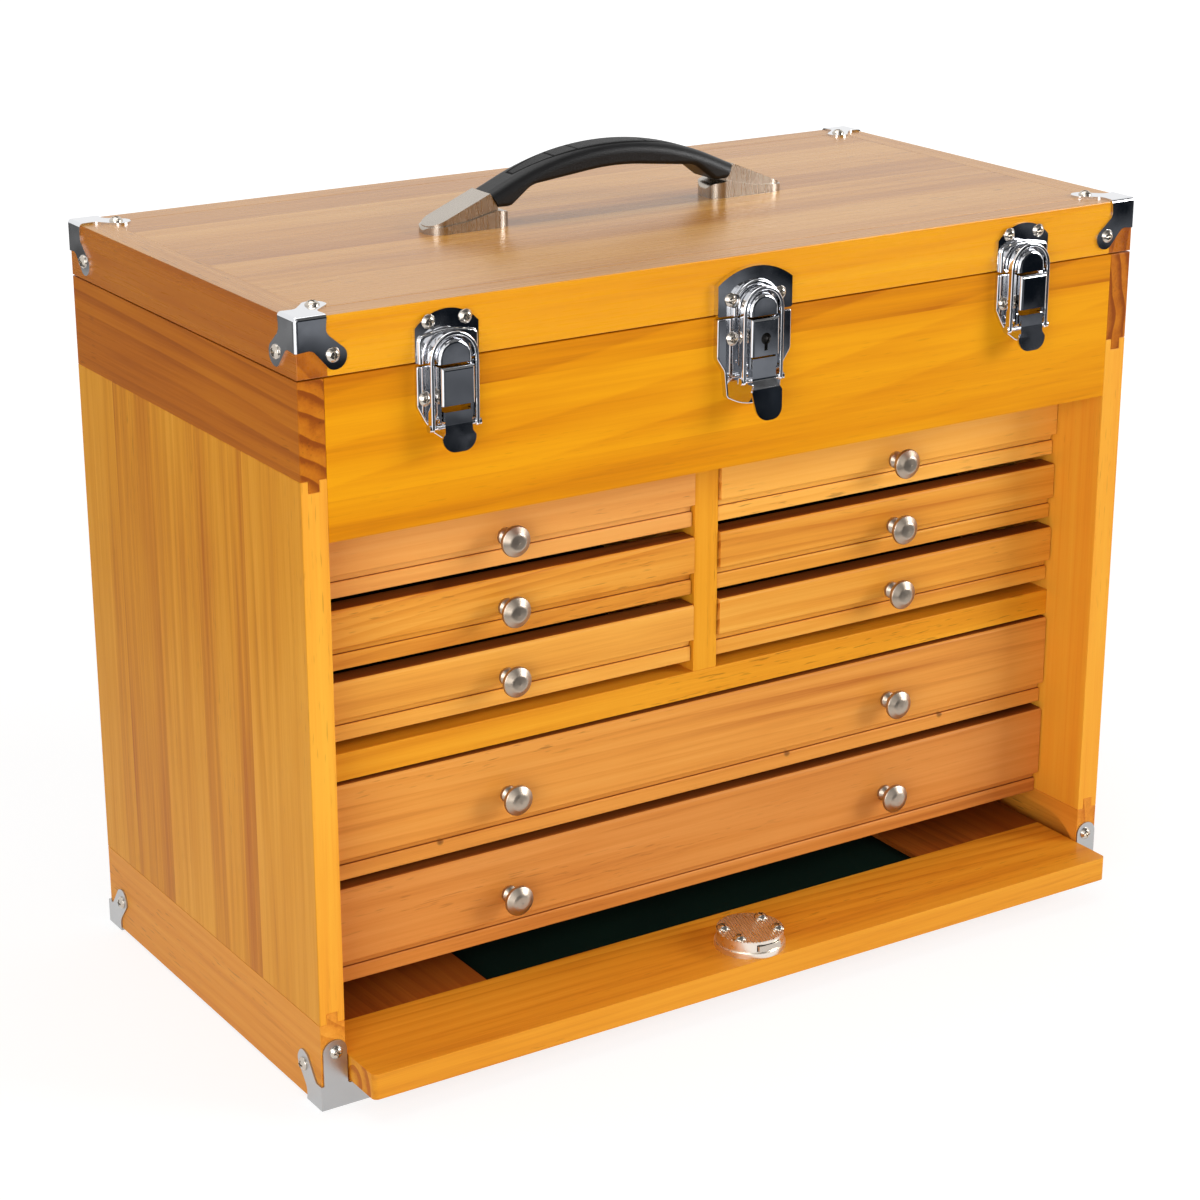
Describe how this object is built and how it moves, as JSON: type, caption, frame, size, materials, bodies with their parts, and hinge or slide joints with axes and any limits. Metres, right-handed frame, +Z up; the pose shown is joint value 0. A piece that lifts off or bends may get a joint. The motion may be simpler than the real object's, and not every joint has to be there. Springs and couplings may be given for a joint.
{
  "type": "machinist tool chest",
  "caption": "Wooden machinist chest with a hinged lid and till, small and wide drawers, a front flap that stores under them, draw latches and a carrying handle.",
  "frame": {"origin": "middle of the whole chest's footprint, at floor level", "axes": "+Z up, +Y from the drawer side to the hinge side, +X to the right seen from the front"},
  "size_m": [0.5212, 0.2946, 0.4474],
  "materials": {
    "stave_wood": "satin varnish",
    "batten_wood": "satin varnish",
    "till_wood": "satin varnish",
    "lid_wood": "satin varnish",
    "lid_edge_wood": "satin varnish",
    "small_drawer_wood": "satin varnish",
    "wide_drawer_wood": "satin varnish",
    "flap_wood": "satin varnish",
    "inner_wood": "plain",
    "baize": "short napped cloth",
    "mirror_plate": "mirror",
    "satin_nickel": "satin",
    "screw_steel": "bright",
    "black_grip": "fine grain",
    "dark_steel": "plain"
  },
  "bodies": {
    "case": {"side_panels": "stave_wood", "side_top_battens": "batten_wood", "side_bottom_battens": "batten_wood", "till_front_board": "till_wood", "back_panel": "stave_wood", "till_floor": "inner_wood", "bottom_board": "inner_wood", "mid_rails": "inner_wood", "centre_divider": "inner_wood", "drawer_runners": "inner_wood", "base_brackets": "mirror_plate", "case_screws": "screw_steel", "latch_bases": "mirror_plate", "case_hinge_leaves": "mirror_plate"},
    "lid": {"lid_rails": "lid_edge_wood", "lid_panel": "lid_wood", "lid_corner_caps": "mirror_plate", "lid_screws": "screw_steel", "latch_keepers": "mirror_plate", "handle_caps": "satin_nickel", "handle_grip": "black_grip", "lid_hinge_leaves": "mirror_plate"},
    "lock_cam": {"lock_cam": "dark_steel"},
    "flap": {"flap_frame": "flap_wood", "flap_panel": "flap_wood", "flap_baize": "baize", "flap_pins": "dark_steel", "flap_lock_case": "mirror_plate", "flap_lock_screws": "screw_steel"},
    "flap_bolt": {"flap_lock_bolt": "mirror_plate"},
    "left_lever": {"left_latch_lever": "mirror_plate"},
    "left_bail": {"left_latch_bail": "screw_steel"},
    "centre_lever": {"centre_latch_lever": "mirror_plate"},
    "centre_bail": {"centre_latch_bail": "screw_steel"},
    "right_lever": {"right_latch_lever": "mirror_plate"},
    "right_bail": {"right_latch_bail": "screw_steel"},
    "drawer_1": {"drawer_1_front": "small_drawer_wood", "drawer_1_box": "inner_wood", "drawer_1_knob": "satin_nickel"},
    "drawer_2": {"drawer_2_front": "small_drawer_wood", "drawer_2_box": "inner_wood", "drawer_2_knob": "satin_nickel"},
    "drawer_3": {"drawer_3_front": "small_drawer_wood", "drawer_3_box": "inner_wood", "drawer_3_knob": "satin_nickel"},
    "drawer_4": {"drawer_4_front": "small_drawer_wood", "drawer_4_box": "inner_wood", "drawer_4_knob": "satin_nickel"},
    "drawer_5": {"drawer_5_front": "small_drawer_wood", "drawer_5_box": "inner_wood", "drawer_5_knob": "satin_nickel"},
    "drawer_6": {"drawer_6_front": "small_drawer_wood", "drawer_6_box": "inner_wood", "drawer_6_knob": "satin_nickel"},
    "drawer_7": {"drawer_7_front": "wide_drawer_wood", "drawer_7_box": "inner_wood", "drawer_7_knob": "satin_nickel"},
    "drawer_8": {"drawer_8_front": "wide_drawer_wood", "drawer_8_box": "inner_wood", "drawer_8_knob": "satin_nickel"}
  },
  "joints": [
    {"name": "lid_hinge", "type": "hinge", "parent": "case", "child": "lid", "pos_m": [0, 0.1447, 0.38035], "axis": [-1, 0, 0], "range_deg": [0, 95]},
    {"name": "left_lever_hinge", "type": "hinge", "parent": "case", "child": "left_lever", "pos_m": [-0.1782, -0.1265, 0.354], "axis": [-1, 0, 0], "range_deg": [0, 95]},
    {"name": "left_bail_hinge", "type": "hinge", "parent": "left_lever", "child": "left_bail", "pos_m": [-0.1782, -0.1273, 0.3494], "axis": [-1, 0, 0], "range_deg": [-95, 0]},
    {"name": "centre_lever_hinge", "type": "hinge", "parent": "case", "child": "centre_lever", "pos_m": [0, -0.1289, 0.355], "axis": [-1, 0, 0], "range_deg": [0, 95]},
    {"name": "centre_bail_hinge", "type": "hinge", "parent": "centre_lever", "child": "centre_bail", "pos_m": [0, -0.1301, 0.347], "axis": [-1, 0, 0], "range_deg": [-95, 0]},
    {"name": "right_lever_hinge", "type": "hinge", "parent": "case", "child": "right_lever", "pos_m": [0.1782, -0.1265, 0.354], "axis": [-1, 0, 0], "range_deg": [0, 95]},
    {"name": "right_bail_hinge", "type": "hinge", "parent": "right_lever", "child": "right_bail", "pos_m": [0.1782, -0.1273, 0.3494], "axis": [-1, 0, 0], "range_deg": [-95, 0]},
    {"name": "lock_cam_turn", "type": "hinge", "parent": "case", "child": "lock_cam", "pos_m": [0, -0.1318, 0.3687], "axis": [0, -1, 0], "range_deg": [0, 90]},
    {"name": "flap_slide", "type": "slide", "parent": "case", "child": "flap", "axis": [0, -1, 0], "range_m": [0, 0.235]},
    {"name": "flap_bolt_slide", "type": "slide", "parent": "flap", "child": "flap_bolt", "axis": [0, -1, 0], "range_m": [0, 0.006]},
    {"name": "drawer_1_slide", "type": "slide", "parent": "case", "child": "drawer_1", "axis": [0, -1, 0], "range_m": [0, 0.175]},
    {"name": "drawer_2_slide", "type": "slide", "parent": "case", "child": "drawer_2", "axis": [0, -1, 0], "range_m": [0, 0.175]},
    {"name": "drawer_3_slide", "type": "slide", "parent": "case", "child": "drawer_3", "axis": [0, -1, 0], "range_m": [0, 0.175]},
    {"name": "drawer_4_slide", "type": "slide", "parent": "case", "child": "drawer_4", "axis": [0, -1, 0], "range_m": [0, 0.175]},
    {"name": "drawer_5_slide", "type": "slide", "parent": "case", "child": "drawer_5", "axis": [0, -1, 0], "range_m": [0, 0.175]},
    {"name": "drawer_6_slide", "type": "slide", "parent": "case", "child": "drawer_6", "axis": [0, -1, 0], "range_m": [0, 0.175]},
    {"name": "drawer_7_slide", "type": "slide", "parent": "case", "child": "drawer_7", "axis": [0, -1, 0], "range_m": [0, 0.175]},
    {"name": "drawer_8_slide", "type": "slide", "parent": "case", "child": "drawer_8", "axis": [0, -1, 0], "range_m": [0, 0.175]}
  ],
  "couplings": [
    {"joint": "left_bail_hinge", "follows": "left_lever_hinge", "ratio": -1},
    {"joint": "centre_bail_hinge", "follows": "centre_lever_hinge", "ratio": -1},
    {"joint": "right_bail_hinge", "follows": "right_lever_hinge", "ratio": -1}
  ]
}
